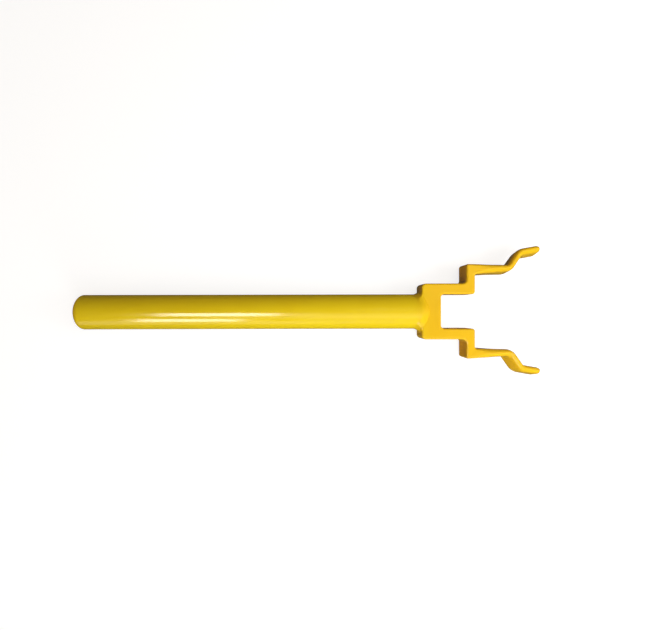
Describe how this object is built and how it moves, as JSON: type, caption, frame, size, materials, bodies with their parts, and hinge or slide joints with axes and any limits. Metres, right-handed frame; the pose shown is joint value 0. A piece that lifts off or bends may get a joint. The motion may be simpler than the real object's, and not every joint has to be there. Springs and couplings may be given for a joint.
{
  "type": "fire hydrant wrench",
  "caption": "Hand wrench with a round capped tube handle and a stepped open fork that ends in twisted, flared fingers, for turning hydrant nuts, caps and couplings.",
  "frame": {"origin": "middle of the jaw floor, the flat face between the two inner legs, on the handle axis", "axes": "+X along the handle axis towards the finger tips, +Y to the left arm, +Z square to the fork's flat faces"},
  "size_m": [0.4512, 0.1268, 0.0344],
  "materials": {
    "handle_paint": "glossy yellow powder coat on steel tube",
    "fork_paint": "glossy yellow powder coat on steel bar",
    "weld_paint": "glossy yellow powder coat over dressed weld"
  },
  "bodies": {
    "root": {"handle_tube": "handle_paint", "end_cap": "handle_paint", "end_cap_weld": "weld_paint", "fork_block": "fork_paint", "neck_weld": "weld_paint", "left_leg_root_weld": "weld_paint", "left_inner_leg": "fork_paint", "left_knee_weld": "weld_paint", "left_riser": "fork_paint", "left_heel_weld": "weld_paint", "left_finger": "fork_paint", "right_leg_root_weld": "weld_paint", "right_inner_leg": "fork_paint", "right_knee_weld": "weld_paint", "right_riser": "fork_paint", "right_heel_weld": "weld_paint", "right_finger": "fork_paint"}
  },
  "joints": []
}
